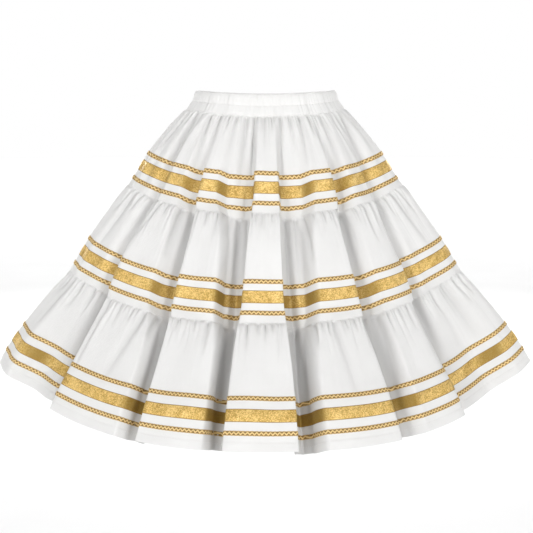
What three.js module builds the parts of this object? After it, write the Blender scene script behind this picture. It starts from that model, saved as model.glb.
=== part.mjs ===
// Three-tier square dance skirt on an elastic waistband, hanging hollow as it is worn.
// Millimetres, +Z up, front faces -Y, the middle of the waist opening is the origin.
import * as THREE from 'three';

// Sizes of the cloth and of the seams.
const WALL = 1.6;
const SEAM_GAP = 0.3;
const TRIM_GAP = 0.4;
const BAND_DEPTH = 33;
const BAND_ROWS = [0, 11, 22];
const WAIST_DIP = 6;
const BRAID_WIDTH = 6.5;
const BRAID_RISE = 1.3;
const RIBBON_RISE = 1.0;
const SIDE_SEAM = 90;

// Mitred corners of the wall reach out no further than one over this.
const MITRE_LEAST = 0.6;
// Cloth length over which the fall of the cloth is taken.
const FALL_REACH = 3;

// One row a tier: cloth length from its top seam to its bottom edge, middle of the upper braid,
// of the ribbon and of the lower braid below that seam, ribbon width, gathers in each panel and
// how far they stand out.
const TIERS = [
  { name: 'tier_1', depth: 155, braidTop: 94, ribbon: 116,
    braidLow: 140, ribbonWidth: 18, gathers: 22, stand: 1.7 },
  { name: 'tier_2', depth: 170, braidTop: 108, ribbon: 131,
    braidLow: 155, ribbonWidth: 18, gathers: 32, stand: 2.3 },
  { name: 'tier_3', depth: 195, braidTop: 118, ribbon: 143.5,
    braidLow: 169, ribbonWidth: 18, gathers: 38, stand: 2.7 },
];
const SEAM_1 = BAND_DEPTH;
const SEAM_2 = SEAM_1 + TIERS[0].depth;
const SEAM_3 = SEAM_2 + TIERS[1].depth;
const HEM = SEAM_3 + TIERS[2].depth;

// Rows of gathers below each tier's top seam and the share of their full height, the open row of
// cloth under them, and the row above the upper braid, in cloth length.
const GATHER_ROWS = [{ length: 5, share: 0.6 }, { length: 17, share: 1 }];
const OPEN_ROW = 42;
const ABOVE_BRAID = 14;

// Outline of the crests: cloth length below the waist edge, half width, half depth, and how far the
// outline is drawn out to a point at each side.
const OUTLINE = [
  { s: 0, halfWidth: 111, halfDepth: 85, point: 0 },
  { s: 20, halfWidth: 118, halfDepth: 88, point: 0.02 },
  { s: SEAM_1, halfWidth: 126, halfDepth: 92, point: 0.05 },
  { s: 45, halfWidth: 135, halfDepth: 99, point: 0.1 },
  { s: 75, halfWidth: 155, halfDepth: 112, point: 0.2 },
  { s: 119, halfWidth: 183, halfDepth: 130, point: 0.3 },
  { s: SEAM_2, halfWidth: 221, halfDepth: 150, point: 0.38 },
  { s: SEAM_2 + 8, halfWidth: 227, halfDepth: 155, point: 0.38 },
  { s: SEAM_2 + 40, halfWidth: 246, halfDepth: 171, point: 0.42 },
  { s: SEAM_2 + 100, halfWidth: 281, halfDepth: 192, point: 0.46 },
  { s: SEAM_3, halfWidth: 318, halfDepth: 215, point: 0.5 },
  { s: SEAM_3 + 8, halfWidth: 323, halfDepth: 221, point: 0.5 },
  { s: SEAM_3 + 40, halfWidth: 345, halfDepth: 240, point: 0.54 },
  { s: SEAM_3 + 100, halfWidth: 384, halfDepth: 271, point: 0.58 },
  { s: SEAM_3 + 150, halfWidth: 414, halfDepth: 297, point: 0.59 },
  { s: HEM, halfWidth: 438, halfDepth: 315, point: 0.59 },
];
const POINT_LEAN = 0.3;

// Hollows between the folds, degrees round from the front: from and to at the ribbons of the three
// tiers, how deep there, how much lower the rows of the cloth run in it there, and the widths in
// millimetres of the turns at its first and at its last edge.
const HOLLOWS = [
  { at1: [-68, -50], at2: [-67, -53], at3: [-67, -50.5], deep: [6, 8, 27], drop: [2, 2, 6], turn: [90, 6] },
  { at1: [-38.2, -30.9], at2: [-35, -28.2], at3: [-29.8, -26.5],
    deep: [9, 12, 20], drop: [6, 7.5, 10], turn: [18, 7] },
  { at1: [-20.4, -5.3], at2: [-13.9, -7.4], at3: [-11.3, -8.7],
    deep: [14, 20, 26], drop: [9, 11, 8], turn: [15, 7] },
  { at1: [6.8, 19.9], at2: [6.1, 14.2], at3: [6.9, 10.9],
    deep: [14, 20, 28], drop: [9, 11, 13], turn: [8, 20] },
  { at1: [32.5, 38.8], at2: [28.4, 34.5], at3: [28, 32.8],
    deep: [9, 12, 20], drop: [5.5, 7.5, 7], turn: [6, 22] },
  { at1: [52, 68], at2: [49.2, 66.5], at3: [45.8, 66], deep: [6, 8, 27], drop: [2, 2, 12], turn: [6, 90] },
  { at1: [98, 108], at2: [99, 110], at3: [100, 112], deep: [8, 14, 22], drop: [3, 6, 8], turn: [20, 14] },
  { at1: [118, 129], at2: [118, 128], at3: [119, 127], deep: [12, 18, 26], drop: [6, 8, 10], turn: [12, 24] },
  { at1: [140, 151], at2: [138, 148], at3: [138, 146], deep: [13, 19, 25], drop: [8, 9, 9], turn: [22, 8] },
  { at1: [162, 173], at2: [160, 170], at3: [159, 166],
    deep: [14, 20, 28], drop: [9, 11, 10], turn: [12, 20] },
  { at1: [183, 197], at2: [183, 193], at3: [183, 190.5],
    deep: [14, 21, 27], drop: [9, 10, 12], turn: [8, 22] },
  { at1: [207, 217], at2: [206, 215], at3: [206, 212.5],
    deep: [12, 18, 24], drop: [7, 8, 9], turn: [22, 12] },
  { at1: [229, 240], at2: [229, 239], at3: [230, 238], deep: [12, 18, 27], drop: [6, 8, 10], turn: [12, 20] },
  { at1: [252, 262], at2: [250, 261], at3: [248, 260], deep: [8, 14, 22], drop: [3, 6, 8], turn: [14, 20] },
];
const LEVELS = [SEAM_1, SEAM_1 + TIERS[0].ribbon, SEAM_2 + TIERS[1].ribbon, SEAM_3 + TIERS[2].ribbon];
// How far the edges of the hollows have moved over from their places at the ribbon above a seam to
// those at the ribbon below it, by cloth length below the seam.
const MOVE_AT = [-39, -15, 0, 17, 42, 85, 131];
const MOVE_SHARE = [0, 0.12, 0.42, 0.62, 0.83, 0.97, 1];
const WAIST_HOLLOW = 1.5;
const WIDEST_TURN = 34;
const FLOOR_HALF = 0.6;

const rad = Math.PI / 180;

function lerpTable(x, xs, ys) {
  if (x <= xs[0]) return ys[0];
  for (let i = 1; i < xs.length; i++) {
    if (x <= xs[i]) return ys[i - 1] + (ys[i] - ys[i - 1]) * (x - xs[i - 1]) / (xs[i] - xs[i - 1]);
  }
  return ys[ys.length - 1];
}

// Smooth curve through a table that never overshoots its rows.
function smoothTable(xs, ys) {
  const h = [];
  const d = [];
  for (let i = 0; i + 1 < xs.length; i++) {
    h.push(xs[i + 1] - xs[i]);
    d.push((ys[i + 1] - ys[i]) / h[i]);
  }
  const m = [d[0]];
  for (let i = 1; i < d.length; i++) {
    const w1 = 2 * h[i] + h[i - 1];
    const w2 = h[i] + 2 * h[i - 1];
    m.push(d[i] * d[i - 1] <= 0 ? 0 : (w1 + w2) / (w1 / d[i - 1] + w2 / d[i]));
  }
  m.push(d[d.length - 1]);
  return (x) => {
    const c = Math.min(Math.max(x, xs[0]), xs[xs.length - 1]);
    let i = 0;
    while (i < h.length - 1 && c > xs[i + 1]) i++;
    const t = (c - xs[i]) / h[i];
    const t2 = t * t;
    const t3 = t2 * t;
    return ys[i] * (2 * t3 - 3 * t2 + 1) + m[i] * h[i] * (t3 - 2 * t2 + t)
      + ys[i + 1] * (3 * t2 - 2 * t3) + m[i + 1] * h[i] * (t3 - t2);
  };
}

const outlineS = OUTLINE.map((r) => r.s);
const halfWidth = smoothTable(outlineS, OUTLINE.map((r) => r.halfWidth));
const halfDepth = smoothTable(outlineS, OUTLINE.map((r) => r.halfDepth));
const pointAt = smoothTable(outlineS, OUTLINE.map((r) => r.point));

function ease(x) {
  const t = Math.min(Math.max(x, 0), 1);
  return t * t * (3 - 2 * t);
}

function edges(hollow, s) {
  const upper = lerpTable(s - SEAM_2, MOVE_AT, MOVE_SHARE);
  const lower = lerpTable(s - SEAM_3, MOVE_AT, MOVE_SHARE);
  return [0, 1].map((k) => hollow.at1[k] + (hollow.at2[k] - hollow.at1[k]) * upper
    + (hollow.at3[k] - hollow.at2[k]) * lower);
}

// Widths in degrees of the turns at both edges of a hollow.
function turns(hollow, s) {
  return hollow.turn.map((width) => Math.min(width / (halfWidth(s) * rad), WIDEST_TURN));
}

// Depth of the hollows and how much lower the rows run, at an angle and a cloth length.
function hollowAt(deg, s) {
  let depth = 0;
  let drop = 0;
  for (const hollow of HOLLOWS) {
    const [from, to] = edges(hollow, s);
    const [first, second] = turns(hollow, s);
    const half = (to - from) / 2;
    let u = (deg - (from + to) / 2 + 180) % 360;
    if (u < 0) u += 360;
    u -= 180;
    const k = ease((u + half) / first + 0.5) * ease((half - u) / second + 0.5);
    depth += k * lerpTable(s, LEVELS, [WAIST_HOLLOW, ...hollow.deep]);
    drop += k * lerpTable(s, LEVELS, [0, ...hollow.drop]);
  }
  return { depth, drop };
}

// Outline of the crests seen from above: a place on it and the way along it for one radian.
function outlinePoint(deg, s) {
  const a = halfWidth(s);
  const b = halfDepth(s);
  const c = pointAt(s);
  const sin = Math.sin(deg * rad);
  const cos = Math.cos(deg * rad);
  const flat = c * (1 + POINT_LEAN * sin) * sin * sin;
  return {
    x: a * sin,
    y: -b * cos * (1 - flat),
    wayX: a * cos,
    wayY: b * sin * (1 - flat + c * cos * cos * (2 + 3 * POINT_LEAN * sin)),
  };
}

function planPoint(deg, s) {
  const { x, y, wayX, wayY } = outlinePoint(deg, s);
  const { depth, drop } = hollowAt(deg, s);
  const n = Math.hypot(wayX, wayY);
  return { x: x - depth * wayY / n, y: y + depth * wayX / n, drop };
}

// Height of the crests, found by laying the length of the cloth down from the waist edge.
const STEP_DEG = 0.5;
const STEP_S = 2;
const TURN = Math.round(360 / STEP_DEG);
const DOWN = Math.ceil((HEM + 6) / STEP_S);
const heights = [];
for (let i = 0; i < TURN; i++) {
  const deg = -180 + i * STEP_DEG;
  let z = -WAIST_DIP * Math.cos(deg * rad) ** 2;
  let last = outlinePoint(deg, 0);
  const column = [z];
  for (let j = 1; j <= DOWN; j++) {
    const next = outlinePoint(deg, j * STEP_S);
    const across = (next.x - last.x) ** 2 + (next.y - last.y) ** 2;
    z -= Math.sqrt(Math.max(STEP_S * STEP_S - across, 0.05 * STEP_S * STEP_S));
    column.push(z);
    last = next;
  }
  heights.push(column);
}

function clothPoint(deg, s) {
  const p = planPoint(deg, s);
  const gi = (((deg + 180) / STEP_DEG) % TURN + TURN) % TURN;
  const i0 = Math.floor(gi);
  const fi = gi - i0;
  const gj = Math.min(Math.max(s / STEP_S, 0), DOWN - 1e-6);
  const j0 = Math.floor(gj);
  const fj = gj - j0;
  const c0 = heights[i0 % TURN];
  const c1 = heights[(i0 + 1) % TURN];
  const low = c0[j0] * (1 - fi) + c1[j0] * fi;
  const high = c0[j0 + 1] * (1 - fi) + c1[j0 + 1] * fi;
  return new THREE.Vector3(p.x, p.y, low * (1 - fj) + high * fj - p.drop);
}

// Angles of the columns of a panel: both turns of each hollow and the middle of each crest.
function panelAngles(from, to, s) {
  const inside = HOLLOWS.filter((h) => h.at1[0] > from && h.at1[1] < to);
  const out = [from];
  let last = from;
  for (const hollow of inside) {
    const [a, b] = edges(hollow, s);
    const [atFirst, atLast] = turns(hollow, s);
    const first = a - atFirst / 2;
    const floor = [
      Math.min(a + atFirst / 2, (a + b) / 2 - FLOOR_HALF),
      Math.max(b - atLast / 2, (a + b) / 2 + FLOOR_HALF),
    ];
    out.push((last + first) / 2, first, ...floor);
    last = b + atLast / 2;
    out.push(last);
  }
  out.push((last + to) / 2, to);
  return out;
}

// A row of the cloth: its points and the directions in which its wall is laid on them.
function clothRow(angles, s, ring, stand = 0) {
  const points = angles.map((deg) => clothPoint(deg, s));
  const n = points.length;
  const outs = points.map((p, i) => {
    const above = clothPoint(angles[i], Math.max(s - FALL_REACH, 0));
    const down = clothPoint(angles[i], Math.min(s, HEM) + FALL_REACH).sub(above);
    const before = ring || i > 0 ? points[(i + n - 1) % n] : null;
    const after = ring || i < n - 1 ? points[(i + 1) % n] : null;
    const faces = [];
    if (before) faces.push(down.clone().cross(p.clone().sub(before)).normalize());
    if (after) faces.push(down.clone().cross(after.clone().sub(p)).normalize());
    if (faces.length === 1) {
      // Mitred on the plane of the side seam, so that front and back never cross it.
      const flat = new THREE.Vector3(faces[0].x, 0, faces[0].z).normalize();
      return flat.multiplyScalar(1 / Math.max(flat.dot(faces[0]), MITRE_LEAST));
    }
    const sum = faces[0].clone().add(faces[1]);
    return sum.multiplyScalar(1 / Math.max(1 + faces[0].dot(faces[1]), MITRE_LEAST));
  });
  if (stand) points.forEach((p, i) => p.addScaledVector(outs[i], i % 2 ? stand : -stand));
  return { angles, points, outs };
}

// Closed wall between two offsets of a list of rows; rows may differ in their number of points.
// Each four-sided face is split along its outer or its inner diagonal, so that a trim, split along
// the outer ones, clears the panel under it, split along the inner ones.
function wall(rows, inner, outer, ring, outward = false) {
  const positions = [];
  const index = [];
  const start = [];
  for (const row of rows) {
    start.push(positions.length / 3);
    for (const off of [inner, outer]) {
      row.points.forEach((p, i) => {
        const q = p.clone().addScaledVector(row.outs[i], off);
        positions.push(q.x, q.y, q.z);
      });
    }
  }
  const id = (r, side, i) => start[r] + side * rows[r].points.length + (i % rows[r].points.length);
  const at = (r, i) => rows[r].points[i % rows[r].points.length];
  for (let r = 0; r + 1 < rows.length; r++) {
    const a = rows[r].angles;
    const b = rows[r + 1].angles;
    const na = ring ? a.length : a.length - 1;
    const nb = ring ? b.length : b.length - 1;
    if (na === nb) {
      for (let i = 0; i < na; i++) {
        const down = at(r + 1, i).clone().sub(at(r, i));
        const facing = down.clone().cross(at(r, i + 1).clone().sub(at(r, i)));
        const rise = down.add(at(r, i + 1)).sub(at(r + 1, i + 1));
        const split = rise.dot(facing) > 0 === outward;
        for (const side of [0, 1]) {
          const [p, q, v, w] = [id(r, side, i), id(r, side, i + 1), id(r + 1, side, i), id(r + 1, side, i + 1)];
          const faces = split ? [[p, v, q], [q, v, w]] : [[p, v, w], [p, w, q]];
          for (const f of faces) index.push(...(side ? f : [f[0], f[2], f[1]]));
        }
      }
      continue;
    }
    const angA = (i) => (i < a.length ? a[i] : a[0] + 360);
    const angB = (i) => (i < b.length ? b[i] : b[0] + 360);
    let i = 0;
    let j = 0;
    while (i < na || j < nb) {
      if (j >= nb || (i < na && angA(i + 1) + angA(i) <= angB(j + 1) + angB(j))) {
        index.push(id(r, 1, i), id(r + 1, 1, j), id(r, 1, i + 1));
        index.push(id(r, 0, i), id(r, 0, i + 1), id(r + 1, 0, j));
        i++;
      } else {
        index.push(id(r, 1, i), id(r + 1, 1, j), id(r + 1, 1, j + 1));
        index.push(id(r, 0, i), id(r + 1, 0, j + 1), id(r + 1, 0, j));
        j++;
      }
    }
  }
  const last = rows.length - 1;
  const topCount = ring ? rows[0].points.length : rows[0].points.length - 1;
  for (let i = 0; i < topCount; i++) {
    index.push(id(0, 0, i), id(0, 1, i), id(0, 1, i + 1), id(0, 0, i), id(0, 1, i + 1), id(0, 0, i + 1));
  }
  const lowCount = ring ? rows[last].points.length : rows[last].points.length - 1;
  for (let i = 0; i < lowCount; i++) {
    index.push(id(last, 0, i), id(last, 1, i + 1), id(last, 1, i));
    index.push(id(last, 0, i), id(last, 0, i + 1), id(last, 1, i + 1));
  }
  if (!ring) {
    for (let r = 0; r < last; r++) {
      const e0 = rows[r].points.length - 1;
      const e1 = rows[r + 1].points.length - 1;
      index.push(id(r, 0, 0), id(r + 1, 0, 0), id(r + 1, 1, 0), id(r, 0, 0), id(r + 1, 1, 0), id(r, 1, 0));
      index.push(id(r, 0, e0), id(r + 1, 1, e1), id(r + 1, 0, e1));
      index.push(id(r, 0, e0), id(r, 1, e0), id(r + 1, 1, e1));
    }
  }
  const geometry = new THREE.BufferGeometry();
  geometry.setAttribute('position', new THREE.Float32BufferAttribute(positions, 3));
  geometry.setIndex(index);
  geometry.computeVertexNormals();
  return geometry;
}

const cotton = new THREE.MeshStandardMaterial({
  name: 'white_cotton', color: 0xf2f1ef, roughness: 0.88, metalness: 0,
});
const gold = new THREE.MeshStandardMaterial({
  name: 'gold_ribbon', color: 0xcfa654, roughness: 0.42, metalness: 0.55,
});
const braid = new THREE.MeshStandardMaterial({
  name: 'gold_braid', color: 0xb9954b, roughness: 0.6, metalness: 0.3,
});

const skirt = new THREE.Group();
skirt.name = 'square_dance_skirt';

function add(name, geometry, material) {
  const mesh = new THREE.Mesh(geometry, material);
  mesh.name = name;
  skirt.add(mesh);
}

// The side seams lie at a quarter turn to each side; this is half of their gap as an angle.
function halfGap(s, side) {
  return SEAM_GAP / 2 / Math.abs(outlinePoint(side, s).wayY) / rad;
}

// From and to of the front or the back panel, clear of the side seams.
function span(side, s) {
  const left = halfGap(s, -SIDE_SEAM);
  const right = halfGap(s, SIDE_SEAM);
  if (side === 'front') return [left - SIDE_SEAM, SIDE_SEAM - right];
  return [SIDE_SEAM + right, 360 - SIDE_SEAM - left];
}

// Angles that lie the same way apart along the outline.
function gatherAngles(from, to, count, s) {
  const run = [0];
  const steps = 360;
  const at = (i) => from + (to - from) * i / steps;
  for (let i = 0; i < steps; i++) {
    const { wayX, wayY } = outlinePoint(at(i + 0.5), s);
    run.push(run[i] + Math.hypot(wayX, wayY));
  }
  const out = [];
  let k = 0;
  for (let i = 0; i <= 2 * count; i++) {
    const goal = run[steps] * i / (2 * count);
    while (k < steps - 1 && run[k + 1] < goal) k++;
    out.push(at(k + Math.min((goal - run[k]) / (run[k + 1] - run[k]), 1)));
  }
  return out;
}

// Elastic waistband, a ring of cloth that meets tier 1 along the waist seam.
const ringAngles = (s) => [...panelAngles(...span('front', s), s), ...panelAngles(...span('back', s), s)];
const bandRows = [...BAND_ROWS, SEAM_1 - SEAM_GAP / 2].map((s) => clothRow(ringAngles(s), s, true));
add('waistband', wall(bandRows, -WALL / 2, WALL / 2, true), cotton);

TIERS.forEach((tier, t) => {
  const top = [SEAM_1, SEAM_2, SEAM_3][t];
  const last = t === 2;
  const foot = tier.depth - (last ? 0 : SEAM_GAP / 2);
  const between = (tier.braidTop + tier.ribbon) / 2;
  const below = (tier.ribbon + tier.braidLow) / 2;
  const above = tier.braidTop - ABOVE_BRAID;
  for (const side of ['front', 'back']) {
    const row = (length) => {
      const s = top + length;
      return clothRow(panelAngles(...span(side, s), s), s, false);
    };
    const gathered = (length, stand) => {
      const s = top + length;
      return clothRow(gatherAngles(...span(side, s), tier.gathers, s), s, false, stand);
    };
    const rows = [row(SEAM_GAP / 2)];
    for (const { length, share } of GATHER_ROWS) rows.push(gathered(length, share * tier.stand));
    for (const length of [OPEN_ROW, above, between, below, foot]) rows.push(row(length));
    add(`${tier.name}_${side}`, wall(rows, -WALL / 2, WALL / 2, false), cotton);
  }

  // Trims go right round on the outer face, made from the same rows as the panels.
  const ringRow = (length) => clothRow(ringAngles(top + length), top + length, true);
  const upper = [ringRow(above), ringRow(between), ringRow(below), ringRow(foot)];
  const marks = [above, between, below, foot];
  const cut = (length) => {
    let k = 0;
    while (k < 2 && length > marks[k + 1]) k++;
    const f = (length - marks[k]) / (marks[k + 1] - marks[k]);
    return {
      angles: upper[k].angles,
      points: upper[k].points.map((p, i) => p.clone().lerp(upper[k + 1].points[i], f)),
      outs: upper[k].outs.map((p, i) => p.clone().lerp(upper[k + 1].outs[i], f)),
    };
  };
  const strip = (middle, width, rise) => {
    const rows = [cut(middle - width / 2), cut(middle + width / 2)];
    return wall(rows, WALL / 2 + TRIM_GAP, WALL / 2 + TRIM_GAP + rise, true, true);
  };
  add(`${tier.name}_upper_braid`, strip(tier.braidTop, BRAID_WIDTH, BRAID_RISE), braid);
  add(`${tier.name}_ribbon`, strip(tier.ribbon, tier.ribbonWidth, RIBBON_RISE), gold);
  add(`${tier.name}_lower_braid`, strip(tier.braidLow, BRAID_WIDTH, BRAID_RISE), braid);
});

export default skirt;
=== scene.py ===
import math
import bpy
import numpy as np
from collections import namedtuple
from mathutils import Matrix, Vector


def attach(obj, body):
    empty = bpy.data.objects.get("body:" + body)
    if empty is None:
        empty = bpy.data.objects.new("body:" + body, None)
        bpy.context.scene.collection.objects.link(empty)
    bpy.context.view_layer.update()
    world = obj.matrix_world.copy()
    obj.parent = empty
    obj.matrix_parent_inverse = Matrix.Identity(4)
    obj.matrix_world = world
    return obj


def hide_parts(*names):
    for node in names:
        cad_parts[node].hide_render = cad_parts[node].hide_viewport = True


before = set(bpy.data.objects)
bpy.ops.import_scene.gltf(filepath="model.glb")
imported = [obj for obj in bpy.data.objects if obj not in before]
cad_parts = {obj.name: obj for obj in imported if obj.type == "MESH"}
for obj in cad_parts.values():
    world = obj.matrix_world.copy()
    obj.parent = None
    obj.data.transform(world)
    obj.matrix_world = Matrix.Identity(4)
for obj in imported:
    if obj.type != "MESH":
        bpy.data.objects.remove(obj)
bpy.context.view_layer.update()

# Lengths are in mm until a mesh is made. A place on the cloth is given by its angle in degrees, 0 in front
# and growing towards the viewer's right, and by its cloth length s below the waist edge.
MM = 0.001
RAD = math.pi / 180
LEFT_SEAM, RIGHT_SEAM, ONCE_ROUND = -90.0, 90.0, 270.0

# Cut, as in the solids, but for the ribbons, which are 1 mm wider here.
SEAM_1, SEAM_2, SEAM_3, HEM = 33.0, 188.0, 358.0, 553.0
WAIST_DIP = 6.0
RIBBON_WIDTH = 19.0
TIERS = {  # top seam, length, and the middles of upper braid, ribbon and lower braid below the seam
    1: dict(top=SEAM_1, depth=SEAM_2 - SEAM_1, braid_top=94.0, ribbon=116.0, braid_low=140.0),
    2: dict(top=SEAM_2, depth=SEAM_3 - SEAM_2, braid_top=108.0, ribbon=131.0, braid_low=155.0),
    3: dict(top=SEAM_3, depth=HEM - SEAM_3, braid_top=118.0, ribbon=143.5, braid_low=169.0),
}
OUTLINE = [  # cloth length, half width, half depth, how pointed the sides are
    (0, 111, 85, 0), (20, 118, 88, 0.02), (SEAM_1, 126, 92, 0.05), (45, 135, 99, 0.1),
    (75, 155, 112, 0.2), (119, 183, 130, 0.3), (SEAM_2, 221, 150, 0.38), (SEAM_2 + 8, 227, 155, 0.38),
    (SEAM_2 + 40, 246, 171, 0.42), (SEAM_2 + 100, 281, 192, 0.46), (SEAM_3, 318, 215, 0.5),
    (SEAM_3 + 8, 323, 221, 0.5), (SEAM_3 + 40, 345, 240, 0.54), (SEAM_3 + 100, 384, 271, 0.58),
    (SEAM_3 + 150, 414, 297, 0.59), (HEM, 438, 315, 0.59),
]
POINT_LEAN = 0.3

# A hollow between two folds: the angles of its edges at the ribbons of tiers 1, 2 and 3; how deep it is
# and how much lower the rows run in it there; the widths of the turns at its two edges.
Hollow = namedtuple("Hollow", "at1 at2 at3 depths drops turns")
HOLLOWS = [
    Hollow((-68, -50), (-67, -53), (-67, -50.5), (6, 8, 27), (2, 2, 6), (90, 6)),
    Hollow((-38.2, -30.9), (-35, -28.2), (-29.8, -26.5), (9, 12, 20), (6, 7.5, 10), (18, 7)),
    Hollow((-20.4, -5.3), (-13.9, -7.4), (-11.3, -8.7), (14, 20, 26), (9, 11, 8), (15, 7)),
    Hollow((6.8, 19.9), (6.1, 14.2), (6.9, 10.9), (14, 20, 28), (9, 11, 13), (8, 20)),
    Hollow((32.5, 38.8), (28.4, 34.5), (28, 32.8), (9, 12, 20), (5.5, 7.5, 7), (6, 22)),
    Hollow((52, 68), (49.2, 66.5), (45.8, 66), (6, 8, 27), (2, 2, 12), (6, 90)),
    Hollow((98, 108), (99, 110), (100, 112), (8, 14, 22), (3, 6, 8), (20, 14)),
    Hollow((118, 129), (118, 128), (119, 127), (12, 18, 26), (6, 8, 10), (12, 24)),
    Hollow((140, 151), (138, 148), (138, 146), (13, 19, 25), (8, 9, 9), (22, 8)),
    Hollow((162, 173), (160, 170), (159, 166), (14, 20, 28), (9, 11, 10), (12, 20)),
    Hollow((183, 197), (183, 193), (183, 190.5), (14, 21, 27), (9, 10, 12), (8, 22)),
    Hollow((207, 217), (206, 215), (206, 212.5), (12, 18, 24), (7, 8, 9), (22, 12)),
    Hollow((229, 240), (229, 239), (230, 238), (12, 18, 27), (6, 8, 10), (12, 20)),
    Hollow((252, 262), (250, 261), (248, 260), (8, 14, 22), (3, 6, 8), (14, 20)),
]
LEVELS = [SEAM_1] + [row["top"] + row["ribbon"] for row in TIERS.values()]
DEPTH_AT_SEAM_1 = 1.5
WIDEST_TURN = 34
# How far the edges of the hollows have moved over from their places at the ribbon above a seam to
# those at the ribbon below it, by cloth length below the seam.
MOVE_AT = [-39, -15, 0, 17, 42, 85, 131]
MOVE_SHARE = [0, 0.12, 0.42, 0.62, 0.83, 0.97, 1]


def ease(x):
    t = np.clip(x, 0, 1)
    return t * t * (3 - 2 * t)


def bell(u, shape):
    return np.exp(-np.power(u, shape))


def smooth_table(xs, ys):
    """Smooth curve through a table that never overshoots its rows."""
    xs, ys = np.array(xs, float), np.array(ys, float)
    h = np.diff(xs)
    d = np.diff(ys) / h
    m = [d[0]]
    for i in range(1, len(d)):
        w1, w2 = 2 * h[i] + h[i - 1], h[i] + 2 * h[i - 1]
        m.append(0 if d[i] * d[i - 1] <= 0 else (w1 + w2) / (w1 / d[i - 1] + w2 / d[i]))
    m.append(d[-1])
    m = np.array(m)

    def curve(x):
        c = np.clip(x, xs[0], xs[-1])
        i = np.clip(np.searchsorted(xs, c, side="left") - 1, 0, len(h) - 1)
        t = (c - xs[i]) / h[i]
        t2, t3 = t * t, t * t * t
        return (ys[i] * (2 * t3 - 3 * t2 + 1) + m[i] * h[i] * (t3 - 2 * t2 + t)
                + ys[i + 1] * (3 * t2 - 2 * t3) + m[i + 1] * h[i] * (t3 - t2))

    return curve


half_width, half_depth, pointed = (
    smooth_table([row[0] for row in OUTLINE], [row[k] for row in OUTLINE]) for k in (1, 2, 3))


def past(deg, centre):
    """Degrees past a centre, the shorter way round."""
    return (deg - centre + 180) % 360 - 180


def turn_edges(hollow, s):
    """Angles in the middle of the turns at both edges of a hollow."""
    upper = np.interp(s - SEAM_2, MOVE_AT, MOVE_SHARE)
    lower = np.interp(s - SEAM_3, MOVE_AT, MOVE_SHARE)
    return [a1 + (a2 - a1) * upper + (a3 - a2) * lower
            for a1, a2, a3 in zip(hollow.at1, hollow.at2, hollow.at3)]


def turns(hollow, s):
    """Widths in degrees of the turns at both edges of a hollow."""
    degree = half_width(s) * RAD
    return [np.minimum(width / degree, WIDEST_TURN) for width in hollow.turns]


def share_down(hollow, deg, s, lead=0.5):
    """Share of the way down into a hollow; lead is this share in the middle of its first turn."""
    start, end = turn_edges(hollow, s)
    first, second = turns(hollow, s)
    half = (end - start) / 2
    u = past(deg, (start + end) / 2)
    return ease((u + half) / first + lead) * ease((half - u) / second + 0.5)


def outline(deg, s):
    """Place on the outline of the crests seen from above, and the way along it for one radian."""
    a, b, c = half_width(s), half_depth(s), pointed(s)
    sin, cos = np.sin(deg * RAD), np.cos(deg * RAD)
    flat = c * (1 + POINT_LEAN * sin) * sin ** 2
    return (a * sin, -b * cos * (1 - flat), a * cos,
            b * sin * (1 - flat + c * cos ** 2 * (2 + 3 * POINT_LEAN * sin)))


def stretch(deg, s):
    """Millimetres along the outline for one degree."""
    _, _, way_x, way_y = outline(deg, s)
    return np.hypot(way_x, way_y) * RAD


def plan(deg, s):
    """Place of the cloth from above, and how much lower its rows run there."""
    x, y, way_x, way_y = outline(deg, s)
    depth, drop = np.zeros_like(x), np.zeros_like(x)
    for hollow in HOLLOWS:
        share = share_down(hollow, deg, s)
        depth += share * np.interp(s, LEVELS, [DEPTH_AT_SEAM_1, *hollow.depths])
        drop += share * np.interp(s, LEVELS, [0, *hollow.drops])
    n = np.hypot(way_x, way_y)
    return x - depth * way_y / n, y + depth * way_x / n, drop


# Heights of the outline: each step along the cloth falls by what its way outwards leaves of its length.
STEP_DEG, STEP_S, BELOW_HEM, LEAST_FALL = 0.25, 2.0, 8, 0.05
grid_deg = np.arange(-180, 180, STEP_DEG)
grid_s = np.arange(0, HEM + BELOW_HEM, STEP_S)
grid_x, grid_y, _, _ = outline(*np.meshgrid(grid_deg, grid_s, indexing="ij"))
way_out = np.diff(grid_x) ** 2 + np.diff(grid_y) ** 2
fall = np.sqrt(np.maximum(STEP_S ** 2 - way_out, LEAST_FALL * STEP_S ** 2))
heights = -WAIST_DIP * np.cos(grid_deg * RAD)[:, None] ** 2 - np.hstack(
    [np.zeros((len(grid_deg), 1)), np.cumsum(fall, axis=1)])


def base(deg, s):
    """Middle of the cloth, in mm, at angles and cloth lengths of one shape."""
    x, y, drop = plan(deg, s)
    across = ((deg + 180) / STEP_DEG) % len(grid_deg)
    left = np.floor(across).astype(int) % len(grid_deg)
    right, to_right = (left + 1) % len(grid_deg), across - np.floor(across)
    down = np.clip(s / STEP_S, 0, len(grid_s) - 1.001)
    above = np.floor(down).astype(int)
    to_below = down - above
    upper = heights[left, above] * (1 - to_right) + heights[right, above] * to_right
    lower = heights[left, above + 1] * (1 - to_right) + heights[right, above + 1] * to_right
    z = upper * (1 - to_below) + lower * to_below - drop
    return np.stack([x, y, z], -1)


def outward(deg, s):
    """Unit way out of the cloth, measured over a short step across and down it."""
    half_across, half_down = 0.2, 1.5
    across = base(deg + half_across, s) - base(deg - half_across, s)
    down = base(deg, np.minimum(s + half_down, HEM + 4)) - base(deg, np.maximum(s - half_down, 0))
    n = np.cross(down, across)
    return n / np.linalg.norm(n, axis=-1, keepdims=True)


def all_round(parts):
    """Angles from the left side seam all the way round, with this many parts to a degree."""
    return np.linspace(LEFT_SEAM, ONCE_ROUND, 360 * parts + 1)


def run_along(points):
    """Length of a path up to each of its points."""
    return np.concatenate([[0], np.cumsum(np.linalg.norm(np.diff(points, axis=0), axis=1))])


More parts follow.
